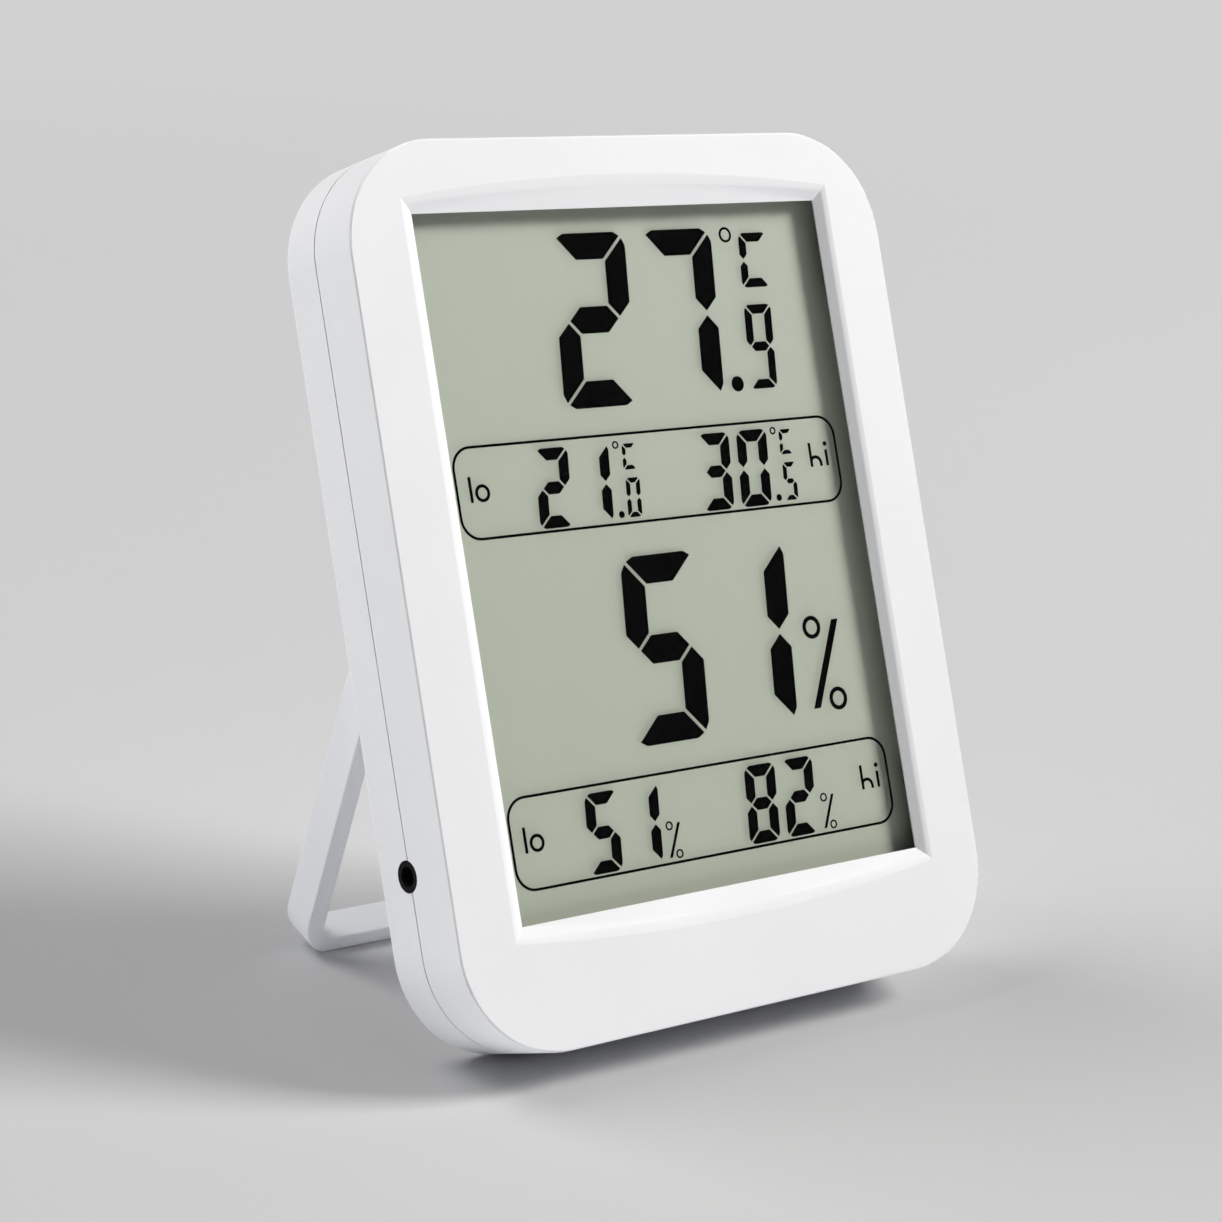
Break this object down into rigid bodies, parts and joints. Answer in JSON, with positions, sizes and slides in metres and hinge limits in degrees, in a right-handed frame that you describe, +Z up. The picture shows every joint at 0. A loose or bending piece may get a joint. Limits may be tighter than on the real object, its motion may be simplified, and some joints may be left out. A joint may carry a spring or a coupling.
{
  "type": "temperature humidity sensor",
  "caption": "Flat white desk thermometer and hygrometer with a large segment display in a bevelled window, leaning on a fold-out loop stand.",
  "frame": {"origin": "centre of the footprint box, on the table that the case's lower back edge and the stand's sole rest on", "axes": "+Z up, the display faces -Y and leans back, +X to the right of someone reading it"},
  "size_m": [0.08, 0.0536, 0.1017],
  "materials": {
    "shell_white": "satin moulded plastic",
    "cover_white": "satin moulded plastic",
    "stand_white": "satin moulded plastic",
    "lens_clear": "clear polished",
    "tape_black": "matt film",
    "lcd_glass": "clear polished",
    "lcd_ink": "dark display segments",
    "lcd_reflector": "matt grey green film",
    "foam_black": "open foam",
    "zebra_rubber": "banded silicone",
    "board_green": "solder resist",
    "resin_black": "cast resin",
    "bright_steel": "tinned",
    "chip_ceramic": "fired ceramic",
    "sensor_ceramic": "coated ceramic",
    "port_black": "black moulded plastic",
    "key_grey": "satin moulded plastic",
    "plunger_black": "moulded plastic",
    "cell_steel": "nickel plated",
    "contact_brass": "plated spring strip",
    "screw_steel": "zinc plated"
  },
  "bodies": {
    "case": {"front_shell": "shell_white", "rear_cover": "cover_white", "display_lens": "lens_clear", "lens_tape": "tape_black", "lcd_front_glass": "lcd_glass", "lcd_segments": "lcd_ink", "lcd_rear_glass": "lcd_glass", "lcd_reflector": "lcd_reflector", "display_foam": "foam_black", "zebra_strip": "zebra_rubber", "main_pcb": "board_green", "controller_blob": "resin_black", "timing_crystal": "bright_steel", "chip_parts": "chip_ceramic", "humidity_sensor": "sensor_ceramic", "sensor_leads": "bright_steel", "thermistor": "resin_black", "air_port_grommet": "port_black", "port_filter": "foam_black", "unit_switch": "bright_steel", "reset_switch": "bright_steel", "coin_cell": "cell_steel", "negative_contact": "contact_brass", "positive_contact": "contact_brass", "case_screws": "screw_steel", "pcb_screws": "screw_steel"},
    "stand": {"stand": "stand_white"},
    "unit_key": {"unit_button": "key_grey", "unit_plunger": "plunger_black"},
    "reset_key": {"reset_button": "key_grey", "reset_plunger": "plunger_black"},
    "battery_door": {"battery_door": "cover_white"}
  },
  "joints": [
    {"name": "stand_fold", "type": "hinge", "parent": "case", "child": "stand", "pos_m": [0, 0.00667, 0.05492], "axis": [-1, 0, 0], "range_deg": [0, 38.8]},
    {"name": "unit_press", "type": "slide", "parent": "case", "child": "unit_key", "axis": [0, -0.9205, 0.3907], "range_m": [0, 0.0006], "stiffness_N_per_m": 1500},
    {"name": "reset_press", "type": "slide", "parent": "case", "child": "reset_key", "axis": [0, -0.9205, 0.3907], "range_m": [0, 0.0006], "stiffness_N_per_m": 1500},
    {"name": "door_turn", "type": "hinge", "parent": "case", "child": "battery_door", "pos_m": [0, -0.00282, 0.02592], "axis": [0, 0.9205, -0.3907], "range_deg": [0, 45]}
  ]
}
